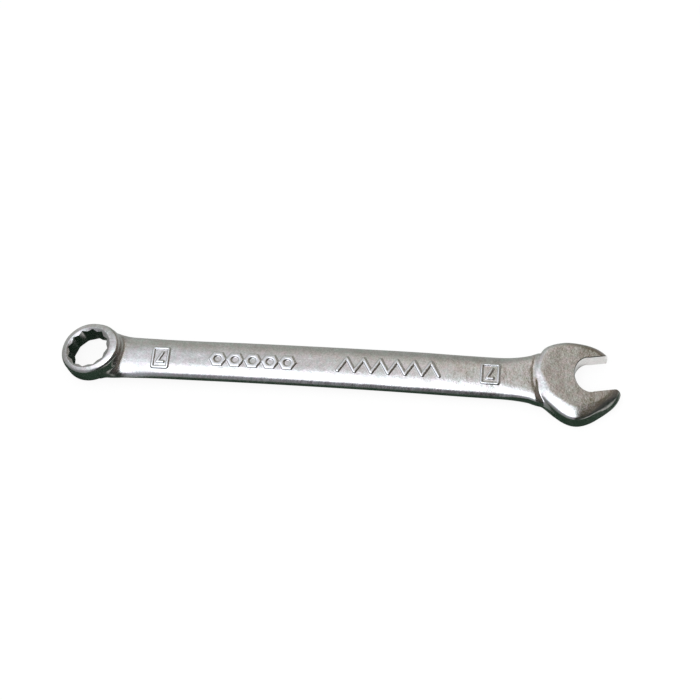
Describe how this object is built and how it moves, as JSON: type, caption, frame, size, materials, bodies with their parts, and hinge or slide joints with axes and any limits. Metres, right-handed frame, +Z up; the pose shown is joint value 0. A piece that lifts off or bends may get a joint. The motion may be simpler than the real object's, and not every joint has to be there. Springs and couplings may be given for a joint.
{
  "type": "combination wrench",
  "caption": "Slim forged combination wrench with an angled open end and a tilted twelve-point ring end on one shank, satin plated.",
  "frame": {"origin": "under the middle of the wrench's bounding box, at the height of its lowest edge", "axes": "+X along the shank from the ring end to the open end, +Z up through the flat side of the open end; the ring dips towards -Z at its free end"},
  "size_m": [0.1054, 0.0166, 0.0061],
  "materials": {
    "satin_nickel_chrome": "satin nickel-chrome plating over forged steel, fine sandblasted grain, slight warm cast"
  },
  "bodies": {
    "root": {"forged_wrench_body": "satin_nickel_chrome"}
  },
  "joints": []
}
